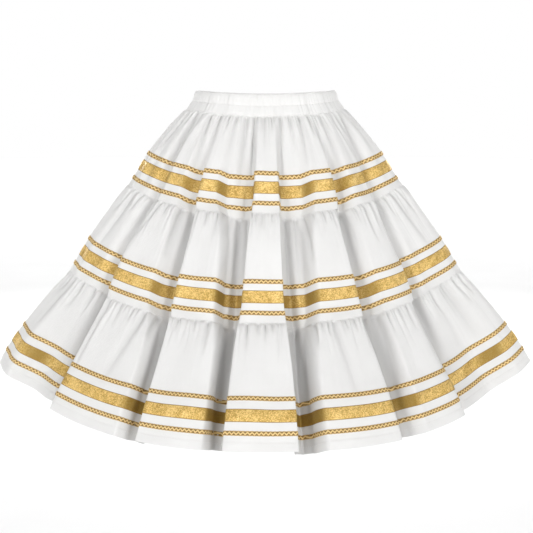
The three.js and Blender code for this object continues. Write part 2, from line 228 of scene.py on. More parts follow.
# Gathers and creases.
# Angle at the seam and at the lower end, length, depth and half width in mm, as the front shows them.
FRONT_CREASES = {
    1: [(-70.1, -72.9, 60, 2.2, 3.0), (-64.2, -65.0, 24, 2.0, 2.4), (-58.6, -55.8, 118, 2.8, 5.0),
        (-50.8, -50.1, 30, 2.0, 2.6), (-41.7, -35.5, 112, 3.2, 3.8), (-33.3, -33.2, 38, 2.1, 2.6),
        (-25.6, -25.1, 22, 2.0, 2.2), (-20.1, -20.1, 48, 2.0, 2.6), (-13.4, -12.5, 135, 3.2, 4.4),
        (-7.9, -6.7, 135, 3.3, 2.4), (-0.5, -0.5, 48, 1.9, 2.3), (4.3, 4.4, 20, 1.7, 2.0),
        (10.4, 7.8, 120, 3.0, 2.6), (16.7, 16.6, 46, 1.9, 2.4), (23.9, 20.9, 82, 3.0, 3.6),
        (30.8, 30.6, 32, 2.0, 2.4), (36.7, 36.6, 22, 1.8, 2.2), (42.5, 36.8, 125, 3.3, 4.4),
        (51.5, 51.0, 28, 2.2, 2.6), (57.8, 57.5, 30, 2.0, 2.6), (65.6, 57.5, 118, 3.0, 4.6),
        (71.1, 74.7, 40, 2.0, 3.0)],
    2: [(-73.4, -77.5, 40, 2.4, 3.2), (-69.2, -71.5, 120, 2.6, 5.0), (-63.3, -64.8, 26, 2.4, 2.8),
        (-56.5, -57.5, 46, 2.6, 3.4), (-50.3, -54.6, 82, 3.2, 4.6), (-46.6, -51.7, 70, 2.6, 3.2),
        (-42.5, -42.4, 16, 2.0, 2.4), (-36.1, -35.3, 86, 3.2, 4.0), (-31.6, -30.0, 150, 3.2, 6.5),
        (-29.9, -28.9, 150, 1.8, 2.8), (-23.5, -23.3, 20, 2.2, 2.4), (-19.0, -18.6, 30, 2.2, 2.6),
        (-14.7, -14.7, 30, 2.4, 2.6), (-12.0, -11.3, 150, 4.4, 4.8), (-7.9, -8.2, 125, 3.4, 2.8),
        (-3.9, -3.9, 14, 1.8, 2.0), (-1.3, -1.4, 22, 2.0, 2.2), (2.5, 2.5, 14, 1.8, 2.0),
        (8.6, 7.6, 160, 3.4, 4.6), (13.2, 11.6, 150, 3.8, 5.2), (16.0, 15.3, 84, 2.8, 2.8),
        (18.9, 18.8, 18, 2.0, 2.2), (23.3, 23.2, 16, 2.0, 2.2), (26.9, 27.3, 26, 2.0, 2.4),
        (29.7, 29.4, 74, 3.0, 3.2), (33.7, 30.9, 160, 3.8, 4.4), (38.3, 38.3, 24, 2.2, 2.4),
        (43.1, 42.6, 52, 2.8, 3.2), (47.3, 46.6, 30, 2.4, 2.8), (53.7, 48.7, 108, 3.2, 6.5),
        (60.0, 60.6, 30, 2.4, 2.8), (66.4, 68.7, 110, 2.8, 5.0), (72.1, 74.9, 34, 2.4, 3.0)],
    3: [(-78.5, -79.1, 30, 2.6, 3.2), (-74.2, -74.7, 120, 3.0, 6.0), (-67.6, -67.3, 40, 2.6, 3.2),
        (-61.2, -60.7, 34, 2.6, 3.2), (-54.4, -50.6, 165, 4.2, 8.0), (-48.9, -48.3, 130, 3.0, 3.0),
        (-44.1, -43.8, 30, 2.4, 2.8), (-39.2, -39.3, 18, 2.2, 2.4), (-34.9, -39.0, 130, 3.2, 5.6),
        (-31.9, -31.6, 32, 2.4, 2.8), (-29.0, -27.2, 90, 3.2, 4.0), (-28.4, -27.6, 160, 3.2, 3.4),
        (-24.2, -24.0, 18, 2.2, 2.4), (-19.3, -19.1, 16, 2.2, 2.4), (-15.5, -15.2, 42, 2.4, 2.8),
        (-12.4, -12.2, 22, 2.0, 2.4), (-9.4, -9.9, 165, 3.6, 5.0), (-4.9, -4.7, 34, 2.4, 2.6),
        (-2.0, -2.0, 14, 1.8, 2.2), (0.0, 0.0, 24, 2.2, 2.4), (1.8, 1.8, 14, 1.8, 2.2),
        (7.5, 7.9, 120, 2.6, 4.2), (9.4, 8.7, 150, 3.4, 4.6), (13.3, 13.0, 36, 2.6, 2.6),
        (15.2, 15.2, 16, 2.0, 2.2), (16.9, 16.8, 20, 2.2, 2.4), (18.6, 20.3, 120, 2.4, 5.6),
        (22.0, 22.1, 16, 2.0, 2.4), (24.6, 24.6, 18, 2.2, 2.4), (27.7, 28.7, 72, 3.6, 4.4),
        (33.0, 31.5, 150, 4.4, 5.4), (35.9, 35.5, 26, 2.4, 2.6), (40.0, 39.9, 26, 2.4, 2.8),
        (43.1, 42.3, 34, 2.6, 3.0), (47.0, 45.4, 140, 4.2, 8.0), (51.8, 49.8, 110, 3.2, 5.6),
        (58.4, 58.3, 30, 2.6, 3.0), (64.9, 65.2, 110, 3.0, 5.6), (71.8, 71.8, 40, 2.6, 3.4),
        (77.5, 78.0, 34, 2.6, 3.2)],
}
# The unseen half: how many, how often a long one comes, and the ranges of length, depth and half width.
GATHERS_BEHIND = {1: 22, 2: 32, 3: 38}
LONG_SHARE = 0.27
LONG_CREASE = [(80, 150), (2.8, 4.0), (3.0, 6.0)]
SHORT_CREASE = [(16, 52), (1.8, 2.6), (2.2, 3.0)]
CRINKLES = {1: 120, 2: 170, 3: 200}
rng = np.random.default_rng(20)


def by_length(tier, shares):
    """Angles at shares of the way round a tier just under its top seam, from the left side seam."""
    fine = all_round(4)
    middles = (fine[1:] + fine[:-1]) / 2
    run = np.concatenate([[0], np.cumsum(stretch(middles, TIERS[tier]["top"] + 12) / 4)])
    return np.interp(np.asarray(shares) * run[-1], run, fine)


def creases_behind(tier):
    """The same kinds of creases as in front, uneven in place, length and depth."""
    count = GATHERS_BEHIND[tier]
    rows = []
    for k in range(count):
        at = float(by_length(tier, 0.5 + 0.5 * (k + 0.5 + rng.uniform(-0.32, 0.32)) / count))
        kind = LONG_CREASE if rng.random() < LONG_SHARE else SHORT_CREASE
        length, deep, wide = (rng.uniform(*ends) for ends in kind)
        rows.append((at, at + rng.uniform(-2.5, 2.5) * (length / 150), length, deep, wide))
    return rows


def small_creases(tier):
    """Fine crinkles between the gathers, all the way round."""
    count = CRINKLES[tier]
    places = by_length(tier, (np.arange(count) + 0.5 + rng.uniform(-0.4, 0.4, count)) / count)
    return [(at, at + rng.uniform(-0.6, 0.6), rng.uniform(12, 52), rng.uniform(0.4, 1.3),
             rng.uniform(1.0, 1.9)) for at in places]


CREASES = {t: FRONT_CREASES[t] + creases_behind(t) + small_creases(t) for t in TIERS}
# Waves round the skirt: how many, phase in degrees, for the soft ones drift in degrees a mm, and size.
RIPPLES = [(rng.integers(60, 260), rng.uniform(0, 360), rng.uniform(0.4, 1.0)) for _ in range(18)]
SOFT_WAVES = [(rng.integers(9, 34), rng.uniform(0, 360), rng.uniform(-0.06, 0.06), rng.uniform(0.3, 1.0))
              for _ in range(12)]

# Troughs by the steep side of each hollow: full depth at the levels, and for a narrow and a wide hollow
# its width, how far in from the turn the trough lies, its half width and its share of the full depth.
TROUGH_DEPTHS = [0, 7, 13, 20]
TROUGH_HOLLOW, TROUGH_IN, TROUGH_WIDTH, TROUGH_SHARE = (18, 34), (5, 9.8), (7, 11), (0.72, 1.0)
SHADED_WIDTHS = [40, 120]

# Creases: short ones fade out over more than their length; the pull of all together has a limit.
SHORT, FADE_OUT = 60, 1.3
PULL_GAIN, MOST_PULL = 2.3, 13.0
FULLNESS, RIPPLE_SIZE, WAVE_SIZE = 1.1, 0.05, 0.75
FOOT, FOOT_CALM = 14, 0.6


def turned(deg, s):
    """How far the cloth is turned away from the outline, 0 to 1, at the sides of the folds."""
    near, steepest = 0.25, 0.85
    after, before = (np.stack(plan(deg + d, s)[:2], -1) for d in (near, -near))
    _, _, way_x, way_y = outline(deg, s)
    step = after - before
    cross = np.abs(step[..., 0] * way_y - step[..., 1] * way_x)
    return ease(cross / np.linalg.norm(step, axis=-1) / np.hypot(way_x, way_y) / steepest)


def fold_troughs(deg, s):
    """How far the cloth is pulled in along the steep side of each hollow, deeper towards the hem, in mm."""
    scale = stretch(deg, s)
    out = np.zeros_like(scale)
    for hollow in HOLLOWS:
        start, end = turn_edges(hollow, s)
        first, second = turns(hollow, s)
        room = (end - start) * scale
        inward, width, share = (np.interp(room, TROUGH_HOLLOW, pair)
                                for pair in (TROUGH_IN, TROUGH_WIDTH, TROUGH_SHARE))
        if hollow.turns[1] < hollow.turns[0]:
            centre = end - second / 2 - inward / scale
        else:
            centre = start + first / 2 + inward / scale
        u = np.abs(past(deg, centre)) * scale
        out += np.interp(s, LEVELS, TROUGH_DEPTHS) * share * bell(u / width, 1.8)
    return out


def shade(deg, s):
    """How dark it is down in the narrow hollows of the bottom tier, 0 to 1."""
    scale = stretch(deg, s)
    out = np.zeros_like(scale)
    for hollow in HOLLOWS:
        start, end = turn_edges(hollow, s)
        narrow = np.interp((end - start) * scale, SHADED_WIDTHS, [1, 0])
        out = np.maximum(out, share_down(hollow, deg, s, lead=0.3) * narrow)
    return out * np.interp(s, [SEAM_3 - 30, SEAM_3, SEAM_3 + 30], [0, 0.6, 1])


def crease_pull(tier, deg, s):
    """How far the creases draw the cloth in, in mm."""
    t = s - TIERS[tier]["top"]
    scale = stretch(deg, s)
    opening = 0.62 + 0.38 * np.clip(t / 18, 0, 1) + 0.5 * np.clip(t / 120, 0, 1)
    pull = np.zeros_like(scale)
    for at_seam, at_foot, length, deep, wide in CREASES[tier]:
        f = np.clip(t / (length if length > SHORT else FADE_OUT * length), 0, 1)
        u = np.abs(past(deg, at_seam + (at_foot - at_seam) * f)) * scale
        depth = deep * ease(t / 4 + 0.2) * np.power(1 - f, 0.65)
        pull += depth * bell(u / (wide * opening), 1.45)
    return MOST_PULL * np.tanh(PULL_GAIN * pull / MOST_PULL)


def ripples(deg, pace=1.0):
    return sum(size * np.sin((pace * n * deg + phase) * RAD) for n, phase, size in RIPPLES)


def relief(tier, deg, s):
    """How far the cloth stands out from its middle surface: gathers, creases and soft waves, in mm."""
    t = s - TIERS[tier]["top"]
    below = np.maximum(t, 0)
    waves = sum(size * np.sin((n * (deg + drift * t) + phase) * RAD) for n, phase, drift, size in SOFT_WAVES)
    out = FULLNESS * ease(t / 5) * np.exp(-below / 50) - crease_pull(tier, deg, s)
    out += RIPPLE_SIZE * ripples(deg) * (np.exp(-below / 30) + 0.5)
    out += WAVE_SIZE * waves * ease(t / 40)
    calm = 1 - FOOT_CALM * ease((t - TIERS[tier]["depth"] + FOOT) / FOOT)
    return out * calm - fold_troughs(deg, s)


def cloth(tier, deg, s, lift):
    """Points on the cloth of a tier, lifted off it by lift mm."""
    return base(deg, s) + outward(deg, s) * (relief(tier, deg, s) + lift)[..., None]


# Meshes.
def make(name, verts, faces, material, **attributes):
    """A smooth mesh in metres from points in mm, with per-point numbers for its material."""
    mesh = bpy.data.meshes.new(name)
    mesh.from_pydata((np.asarray(verts) * MM).tolist(), [], faces)
    mesh.validate()
    for key, values in attributes.items():
        layer = mesh.attributes.new(key, "FLOAT", "POINT")
        layer.data.foreach_set("value", np.asarray(values, dtype=np.float32).ravel())
    mesh.shade_smooth()
    mesh.set_sharp_from_angle(angle=math.radians(75))
    obj = bpy.data.objects.new(name, mesh)
    bpy.context.scene.collection.objects.link(obj)
    mesh.materials.append(material)
    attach(obj, "root")
    return obj


def shell_faces(rows, cols, ring):
    """Quads of a closed shell: the outer grid first, then the inner one."""
    faces = []
    n = rows * cols
    last = cols if ring else cols - 1
    for r in range(rows - 1):
        for c in range(last):
            a, b = r * cols + c, r * cols + (c + 1) % cols
            d, e = a + cols, b + cols
            faces.append((a, d, e, b))
            faces.append((n + a, n + b, n + e, n + d))
    for c in range(last):
        a, b = c, (c + 1) % cols
        faces.append((a, b, n + b, n + a))
        a, b = (rows - 1) * cols + c, (rows - 1) * cols + (c + 1) % cols
        faces.append((a, n + a, n + b, b))
    if not ring:
        for r in range(rows - 1):
            a, b = r * cols, (r + 1) * cols
            faces.append((a, n + a, n + b, b))
            a, b = r * cols + cols - 1, (r + 1) * cols + cols - 1
            faces.append((a, b, n + b, n + a))
    return faces


def shell(name, outer, inner, material, ring=False, **attributes):
    """A closed shell between two grids of points, with the same numbers on both."""
    rows, cols = outer.shape[:2]
    verts = np.concatenate([outer.reshape(-1, 3), inner.reshape(-1, 3)])
    both = {key: np.tile(values.ravel(), 2) for key, values in attributes.items()}
    return make(name, verts, shell_faces(rows, cols, ring), material, **both)


# Columns of the meshes: spacing in mm in front and behind, fewest in a turn and elsewhere, and the least
# half width in degrees of the floor of a hollow.
STEPS = {1: (1.2, 1.7), 2: (1.4, 2.0), 3: (1.5, 2.2)}
IN_TURN, ELSEWHERE = 8, 3
LEAST_FLOOR = 0.6


def columns(start, end, level, step):
    """Angles of the columns at any cloth lengths: step mm apart at a level, and closer in the turns."""
    inside = [hollow for hollow in HOLLOWS if hollow.at1[0] > start and hollow.at1[1] < end]

    def knots(s):
        out, last = [np.full_like(s, start)], np.full_like(s, start)
        for hollow in inside:
            a, b = turn_edges(hollow, s)
            first, second = turns(hollow, s)
            mid, begin = (a + b) / 2, a - first / 2
            out += [(last + begin) / 2, begin, np.minimum(a + first / 2, mid - LEAST_FLOOR),
                    np.maximum(b - second / 2, mid + LEAST_FLOOR), b + second / 2]
            last = out[-1]
        return np.array(out + [(last + end) / 2, np.full_like(s, end)])

    # Of the five spans to a hollow, the third and the last are its turns.
    table = knots(np.array([level]))[:, 0]
    pairs = []
    for k, (a, b) in enumerate(zip(table, table[1:])):
        fewest = IN_TURN if k % 5 in (2, 4) else ELSEWHERE
        n = max(fewest, int(round((b - a) * stretch((a + b) / 2, level) / step)))
        pairs += [(k, i / n) for i in range(n)]
    pairs.append((len(table) - 2, 1.0))
    which, share = np.array([p[0] for p in pairs]), np.array([p[1] for p in pairs])

    def angles(s):
        table = knots(np.asarray(s, float))
        return table[which] * (1 - share)[:, None] + table[which + 1] * share[:, None]

    return angles


COLUMNS = {}
for tier, (near, far) in STEPS.items():
    level = TIERS[tier]["top"] + 50.0
    COLUMNS[tier, "front"] = columns(LEFT_SEAM, RIGHT_SEAM, level, near)
    COLUMNS[tier, "back"] = columns(RIGHT_SEAM, ONCE_ROUND, level, far)


def full_columns(tier):
    """Columns of both panels of a tier, with the one that they share only once."""
    front, back = COLUMNS[tier, "front"], COLUMNS[tier, "back"]
    return lambda s: np.vstack([front(s)[:-1], back(s)])


def grid(angles, s):
    """Angles and lengths of a grid with a row for each cloth length."""
    s = np.asarray(s, float)
    deg = angles(s).T
    return deg, np.broadcast_to(s[:, None], deg.shape).copy()


def path_length(points):
    """Length along each row of a grid of points, up to each point."""
    steps = np.linalg.norm(np.diff(points, axis=1), axis=2)
    return np.hstack([np.zeros((points.shape[0], 1)), np.cumsum(steps, axis=1)])


# Materials. Pitches and bump heights are in metres, and scales of noise per metre.
WHITE, THREAD_WHITE = (0.777, 0.772, 0.763), (0.84, 0.83, 0.81)
RIBBON_GOLDS = [(0.34, (0.43, 0.265, 0.056)), (0.57, (0.70, 0.465, 0.14)), (0.82, (0.93, 0.70, 0.29))]
# Painted shade for the ribbon's turns, and a painted shadow line for its edges.
RIBBON_SHADE, EDGE_SHADOW = (0.27, 0.165, 0.026), (0.30, 0.18, 0.05)
BRAID_GOLDS = [(0.08, (0.17, 0.095, 0.03)), (0.36, (0.36, 0.225, 0.075)), (0.62, (0.55, 0.37, 0.14)),
               (0.95, (0.80, 0.59, 0.27))]
COTTON_PITCH, RIBBON_PITCH, STRAND_PITCH = 0.0009, 0.0011, 0.0013


def nodes_of(name, rough, metallic=0.0, sheen=0.0, specular=0.5):
    mat = bpy.data.materials.new(name)
    mat.use_nodes = True
    tree = mat.node_tree
    shader = tree.nodes["Principled BSDF"]
    shader.inputs["Roughness"].default_value = rough
    shader.inputs["Metallic"].default_value = metallic
    shader.inputs["Specular IOR Level"].default_value = specular
    shader.inputs["Sheen Weight"].default_value = sheen
    shader.inputs["Sheen Roughness"].default_value = 0.5
    return mat, tree, shader


def node(tree, kind, inputs=None, **settings):
    """A new node; an input is linked where it is given a socket, and set where it is given a value."""
    n = tree.nodes.new(kind)
    for key, value in settings.items():
        setattr(n, key, value)
    for key, value in (inputs or {}).items():
        if isinstance(value, bpy.types.NodeSocket):
            tree.links.new(value, n.inputs[key])
        else:
            n.inputs[key].default_value = value
    return n


def object_place(tree):
    return node(tree, "ShaderNodeTexCoord").outputs["Object"]


def number(tree, name):
    return node(tree, "ShaderNodeAttribute", attribute_name=name).outputs["Fac"]


def calc(tree, operation, a, b=0.0):
    return node(tree, "ShaderNodeMath", {0: a, 1: b}, operation=operation).outputs[0]


def weighted(tree, *terms):
    """Sum of values, each times its weight."""
    parts = [calc(tree, "MULTIPLY", value, weight) for value, weight in terms]
    total = parts[0]
    for part in parts[1:]:
        total = calc(tree, "ADD", total, part)
    return total


def ramp(tree, fac, stops):
    n = node(tree, "ShaderNodeValToRGB", {"Fac": fac})
    while len(n.color_ramp.elements) < len(stops):
        n.color_ramp.elements.new(0.5)
    for element, (place, colour) in zip(n.color_ramp.elements, stops):
        element.position = place
        element.color = (*colour, 1.0)
    return n.outputs["Color"]


def greys(tree, fac, *stops):
    return ramp(tree, fac, [(place, (level,) * 3) for place, level in stops])


def noise(tree, vector, scale, detail, rough=0.55):
    inputs = {"Vector": vector, "Scale": scale, "Detail": detail, "Roughness": rough}
    return node(tree, "ShaderNodeTexNoise", inputs).outputs["Fac"]


def stretched_noise(tree, u, u_scale, v, v_scale, detail, rough=0.55):
    """Noise over two numbers of the cloth, with a scale for each."""
    vector = node(tree, "ShaderNodeCombineXYZ", {
        "X": calc(tree, "MULTIPLY", u, u_scale), "Y": calc(tree, "MULTIPLY", v, v_scale)}).outputs[0]
    return noise(tree, vector, 1.0, detail, rough)


def thread_waves(tree, along, across, pitch):
    """Plain weave: threads over and under each other."""
    k = 2 * math.pi / pitch
    a = calc(tree, "SINE", calc(tree, "MULTIPLY", along, k))
    b = calc(tree, "SINE", calc(tree, "MULTIPLY", across, k))
    return calc(tree, "MULTIPLY", a, b)


def bump(tree, shader, height, distance, strength):
    n = node(tree, "ShaderNodeBump", {"Height": height, "Distance": distance, "Strength": strength})
    tree.links.new(n.outputs["Normal"], shader.inputs["Normal"])


def darkened(tree, colour, fac, dark):
    """Colour mixed towards a dark one by fac."""
    mix = node(tree, "ShaderNodeMix", {0: fac, 6: colour, 7: (*dark, 1.0)}, data_type="RGBA")
    return mix.outputs[2]


def cotton(name, tone):
    """Matt plain-weave cotton with slubs and upright crinkles, with painted shade in its creases, troughs and
    narrow hollows and where it turns away.
    """
    mat, tree, shader = nodes_of(name, 0.86, sheen=0.12, specular=0.25)
    place = object_place(tree)
    along, down = number(tree, "along"), number(tree, "down")
    slub = noise(tree, place, 900, 2)
    cloud = noise(tree, place, 28, 4)
    mottle = weighted(tree, (cloud, 0.65), (slub, 0.35))
    colour = ramp(tree, mottle, [(0.32, tuple(c * 0.965 for c in tone)), (0.62, tone)])
    # Painted shade: the base colour is darkened in creases, troughs and narrow hollows and where the cloth
    # turns away.
    drawn = calc(tree, "MULTIPLY", number(tree, "drawn"), 0.42)
    colour = darkened(tree, colour, drawn, tuple(c * 0.55 for c in tone))
    tree.links.new(colour, shader.inputs["Base Color"])
    tree.links.new(greys(tree, slub, (0.2, 0.8), (0.8, 0.92)), shader.inputs["Roughness"])
    weave = thread_waves(tree, along, down, COTTON_PITCH)
    crush = stretched_noise(tree, along, 260.0, down, 34.0, 4, 0.6)
    bump(tree, shader, weighted(tree, (weave, 0.16), (slub, 0.25), (crush, 0.9)), 0.0005, 0.55)
    return mat


def lame(name):
    """Gold metallic-thread ribbon: glittering, with duller specks, painted shade where it turns into the
    hollows, and a painted shadow line along each edge.
    """
    mat, tree, shader = nodes_of(name, 0.42, metallic=0.4, specular=0.4)
    place = object_place(tree)
    along, across = number(tree, "along"), number(tree, "across")
    specks = node(tree, "ShaderNodeTexVoronoi", {"Vector": place, "Scale": 700.0}).outputs["Color"]
    speck = node(tree, "ShaderNodeSeparateColor", {"Color": specks}).outputs["Red"]
    bands = stretched_noise(tree, along, 45.0, across, 0.35, 2)
    cloud = weighted(tree, (noise(tree, place, 60, 3), 0.4), (bands, 0.6))
    colour = ramp(tree, weighted(tree, (speck, 0.4), (cloud, 0.75)), RIBBON_GOLDS)
    # Painted shade: the gold is darkened where the ribbon turns into the hollows and down in them.
    turn_shade = calc(tree, "MULTIPLY", number(tree, "turned"), 0.85)
    colour = darkened(tree, colour, turn_shade, RIBBON_SHADE)
    # Painted shadow: a dark line along both edges of the ribbon.
    from_middle = calc(tree, "ABSOLUTE", calc(tree, "SUBTRACT", across, 0.5))
    edge = node(tree, "ShaderNodeMapRange", {"Value": from_middle, "From Min": 0.43, "From Max": 0.475},
                interpolation_type="SMOOTHSTEP").outputs[0]
    tree.links.new(darkened(tree, colour, edge, EDGE_SHADOW), shader.inputs["Base Color"])
    tree.links.new(greys(tree, speck, (0.0, 0.42), (1.0, 0.62)), shader.inputs["Roughness"])
    ribs = thread_waves(tree, along, calc(tree, "MULTIPLY", across, 0.018), RIBBON_PITCH)
    bump(tree, shader, weighted(tree, (ribs, 0.4), (speck, 0.8)), 0.0003, 0.5)
    return mat


def braid_gold(name):
    """Gold braid with painted light and shade: light on its raised cords and dark brown down between them,
    partly a darker tape and partly painted shade.
    """
    mat, tree, shader = nodes_of(name, 0.5, metallic=0.3, specular=0.4)
    along, ridge = number(tree, "along"), number(tree, "ridge")
    strands = calc(tree, "SINE", weighted(tree, (ridge, 9.0), (along, 2 * math.pi / STRAND_PITCH)))
    grain = noise(tree, object_place(tree), 800, 2)
    speckle = calc(tree, "SUBTRACT", grain, 0.5)
    # Painted light and shade: the lower the braid, the darker its gold.
    colour = ramp(tree, weighted(tree, (ridge, 1.0), (strands, 0.05), (speckle, 0.35)), BRAID_GOLDS)
    tree.links.new(colour, shader.inputs["Base Color"])
    tree.links.new(greys(tree, grain, (0.2, 0.42), (0.8, 0.62)), shader.inputs["Roughness"])
    bump(tree, shader, weighted(tree, (strands, 0.5), (grain, 1.0)), 0.0003, 0.6)
    return mat


def thread(name, tone):
    mat, tree, shader = nodes_of(name, 0.6, sheen=0.2, specular=0.3)
    grain = noise(tree, object_place(tree), 2200, 2)
    colour = ramp(tree, grain, [(0.3, tuple(c * 0.86 for c in tone)), (0.7, tone)])
    tree.links.new(colour, shader.inputs["Base Color"])
    bump(tree, shader, grain, 0.0002, 0.4)
    return mat


def floor_paint(name):
    mat, tree, shader = nodes_of(name, 0.9, specular=0.2)
    colour = greys(tree, noise(tree, object_place(tree), 3, 2), (0.3, 0.86), (0.7, 0.88))
    tree.links.new(colour, shader.inputs["Base Color"])
    return mat


white_cotton = cotton("white_cotton", WHITE)
gold_ribbon = lame("gold_ribbon")
gold_braid = braid_gold("gold_braid")
white_thread = thread("white_thread", THREAD_WHITE)

# Camera. The photograph is PHOTO pixels wide and high, with MM_A_PIXEL at the waist. The waist edge at the
# side seams lies at the row WAIST_ROW, and the skirt OFF_MIDDLE pixels left of the middle.
PHOTO, WAIST_ROW, OFF_MIDDLE, MM_A_PIXEL = 533, 90.5, 0.9, 1.62
DISTANCE, ABOVE, SENSOR = 2.0, 0.020, 36.0
focal = DISTANCE / (MM_A_PIXEL * MM)
pitch = math.atan((PHOTO / 2 - WAIST_ROW) / focal) + math.atan(ABOVE / DISTANCE)
camera = bpy.data.objects.new("camera", bpy.data.cameras.new("camera"))
bpy.context.scene.collection.objects.link(camera)
camera.data.sensor_width = SENSOR
camera.data.lens = focal * SENSOR / PHOTO
camera.data.clip_end = 60
camera.location = (0, -DISTANCE, ABOVE)
camera.rotation_euler = (math.pi / 2 - pitch, 0, -OFF_MIDDLE / focal)
bpy.context.scene.camera = camera

# Tiers. Rows are given by cloth length below the seam, and near the foot above it.
CLOTH_HALF = 0.3
TOP_ROWS = [0, 1, 2.4, 4.2, 6.6, 9.6, 13.2, 17.5, 22.5, 28, 34.5, 42, 50, 59, 68, 78]
MIDDLE_FROM, MIDDLE_STEP, MIDDLE_END = 86.0, 6.5, 18
HEM_DEPTH = 12.6
FOOT_ROWS = [15, HEM_DEPTH, 12, 10, 7.5, 5, 3, 1.5, 0.6, 0]
# The gathered edge starts just under the seam above it, and the side edges sink at the side seams.
TUCK, EDGE_SINK, SIDE_SINK, SINK_WIDTH = 1.2, 0.9, 0.7, 2.2
HEM_OUT, HEM_IN, HEM_STEP = 0.25, 0.55, 0.8
# The cotton carries painted shade where creases and troughs draw it in, by this much in mm for the full dark,
# and by these shares where it is turned away and down in a narrow hollow.
PULL_DARK, TROUGH_DARK, TURN_DARK, SHADE_DARK, MOST_DARK = 6.5, 30, 0.3, 0.4, 1.1


def tier_rows(tier):
    depth = TIERS[tier]["depth"]
    middle = list(np.arange(MIDDLE_FROM, depth - MIDDLE_END, MIDDLE_STEP))
    return np.array(TOP_ROWS + middle + [depth - above for above in FOOT_ROWS])


def tier_piece(tier, side):
    """One panel of a tier, and the length of its lower edge in metres."""
    top, depth = TIERS[tier]["top"], TIERS[tier]["depth"]
    deg, s = grid(COLUMNS[tier, side], top + tier_rows(tier))
    t = s - top
    to_side = np.minimum(np.abs(deg - deg[:, :1]), np.abs(deg - deg[:, -1:])) * stretch(deg, s)
    sink = EDGE_SINK * (1 - ease(t / SINK_WIDTH)) + SIDE_SINK * (1 - ease(to_side / SINK_WIDTH))
    fold = ease((t - depth + HEM_DEPTH) / HEM_STEP) if tier == 3 else np.zeros_like(t)
    points = base(deg, s - TUCK * (t < 0.01))
    out = outward(deg, s)
    stand = relief(tier, deg, s) - sink
    outer = points + out * (stand + CLOTH_HALF + HEM_OUT * fold)[..., None]
    inner = points + out * (stand - CLOTH_HALF - HEM_IN * fold)[..., None]
    along = path_length(points) * MM
    # Painted shade for the cotton's colour, from creases, troughs, turned cloth and narrow hollows.
    drawn = (crease_pull(tier, deg, s) / PULL_DARK + fold_troughs(deg, s) / TROUGH_DARK
             + TURN_DARK * turned(deg, s) + SHADE_DARK * shade(deg, s))
    drawn = np.clip(drawn, 0, MOST_DARK)
    obj = shell(f"tier_{tier}_{side}_cloth", outer, inner, white_cotton,
                along=along, down=s * MM, drawn=drawn)
    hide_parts(f"tier_{tier}_{side}")
    return obj, along[-1, -1]


pieces = {}
cuts = {}
for tier in TIERS:
    for side in ("front", "back"):
        pieces[tier, side], cuts[tier, side] = tier_piece(tier, side)

# Waistband: an elastic casing with two padded channels, a stitched row below each, and upright crinkles.
BAND_ROWS = np.array([0, 0.25, 0.8, 1.6, 2.6, 4, 6, 8, 10, 12, 13.8, 15, 15.8, 16.5, 17.2, 18, 19.4, 21.5, 24,
                      26.5, 28.6, 30, 30.9, 31.6, 32.3, 33.2])
BAND_COLUMNS = 640
CHANNEL_ENDS = (1.0, 16.5, 31.2)
PUFF, PUFF_SHOWN, PUFF_BEHIND = 1.15, 0.85, 0.25
TOP_ROUND = 1.6
BAND_CORE, BAND_COVER, BAND_BACK = 0.35, 0.3, 0.55
BAND_RADIUS = 100
FOOT_TUCK, TUCK_FROM, TUCK_OVER = 0.1, 30, 3
# Crinkles: angle, depth, half width, which of the reaches, and lean. The reaches are the upper channel,
# the lower one and the whole band.
PINCH_COUNT, MOST_PINCH = 150, 1.3
PINCH_MIDDLES, PINCH_REACH = (8, 25), 9
PINCHES = [(360 * (k + rng.uniform(-0.38, 0.38)) / PINCH_COUNT + LEFT_SEAM, rng.uniform(0.45, 1.0),
            rng.uniform(0.9, 1.5), rng.integers(0, 3), rng.uniform(-0.9, 0.9)) for k in range(PINCH_COUNT)]


def band_relief(deg, s):
    """How far the casing stands out, in mm."""
    scale = stretch(deg, s)
    puff = np.zeros_like(deg)
    for low, high in zip(CHANNEL_ENDS, CHANNEL_ENDS[1:]):
        f = np.clip((s - low) / (high - low), 0, 1)
        puff += PUFF * np.power(np.sin(math.pi * f), 0.6) * ((s > low) & (s < high))
    reaches = [np.exp(-((s - middle) / PINCH_REACH) ** 2) for middle in PINCH_MIDDLES] + [np.ones_like(s)]
    pull = np.zeros_like(deg)
    for at, deep, wide, which, lean in PINCHES:
        u = np.abs(past(deg, at + lean * (s / CHANNEL_ENDS[1] - 1))) * scale
        pull += deep * reaches[which] * bell(u / wide, 1.5)
    return puff - MOST_PINCH * np.tanh(pull / MOST_PINCH)


def waistband_piece():
    """The casing, closed all round, with a rounded top edge and its foot tucked in over the gathers."""
    deg, s = np.meshgrid(LEFT_SEAM + 360 * np.arange(BAND_COLUMNS) / BAND_COLUMNS, BAND_ROWS)
    rounded = np.sqrt(np.clip(1 - (1 - np.clip(s / TOP_ROUND, 0, 1)) ** 2, 0, 1))
    mid, out = base(deg, s), outward(deg, s)
    stand = band_relief(deg, s)
    tuck = FOOT_TUCK * ease((s - TUCK_FROM) / TUCK_OVER)
    outer = mid + out * (BAND_CORE + (BAND_COVER + PUFF_SHOWN * stand) * rounded - tuck)[..., None]
    inner = mid - out * (BAND_CORE + (BAND_BACK + PUFF_BEHIND * np.abs(stand)) * rounded)[..., None]
    obj = shell("waistband_cloth", outer, inner, white_cotton, ring=True,
                along=deg * RAD * BAND_RADIUS * MM, down=s * MM)
    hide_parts("waistband")
    return obj


waistband = waistband_piece()

# Ribbons: rows across the width, lift at the edges, of the dome and of its puckers, and of the underside.
ACROSS = np.array([0, 0.03, 0.09, 0.22, 0.5, 0.78, 0.91, 0.97, 1.0])
EDGE_LIFT, DOME, PUCKER, UNDERSIDE = 0.55, 0.45, 0.045, 0.36
